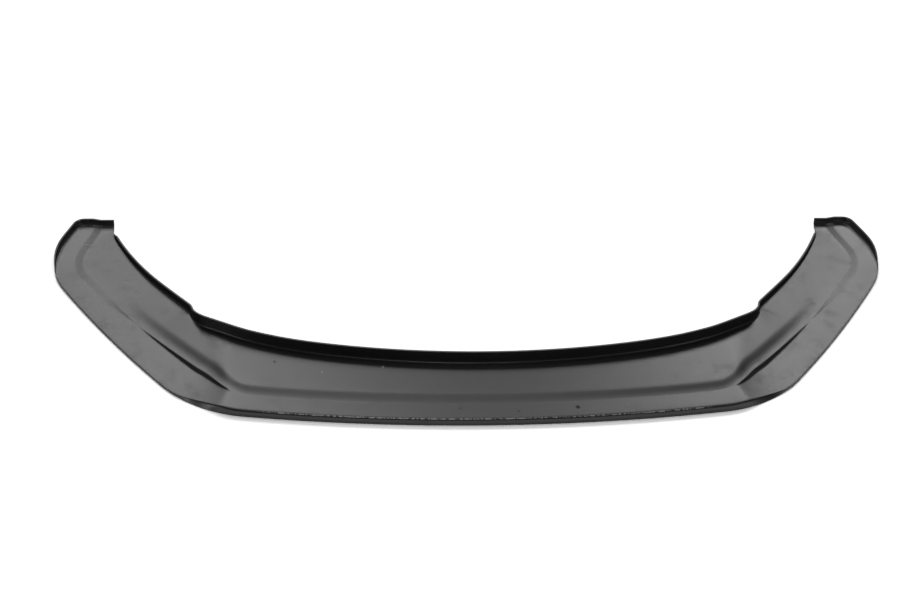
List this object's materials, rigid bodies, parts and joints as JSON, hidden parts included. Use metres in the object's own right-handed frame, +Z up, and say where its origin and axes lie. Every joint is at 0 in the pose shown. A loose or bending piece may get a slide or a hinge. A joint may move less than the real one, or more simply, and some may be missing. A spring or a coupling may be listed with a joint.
{
  "type": "front splitter lip",
  "caption": "One-piece black plastic front splitter lip: wide bowed floor, turned-down nose, stepped blade along each side, upright rear flange and fenced tips",
  "frame": {"origin": "under the middle of the overall box, on the ground the lip lies on", "axes": "X runs across the car, the front edge faces -Y, the arms run back to +Y and Z is up as fitted"},
  "size_m": [1.6992, 0.588, 0.0435],
  "materials": {
    "lip_plastic": "black ABS sheet with a low, satin gloss, lightly scuffed"
  },
  "bodies": {
    "root": {"splitter_lip": "lip_plastic"}
  },
  "joints": []
}
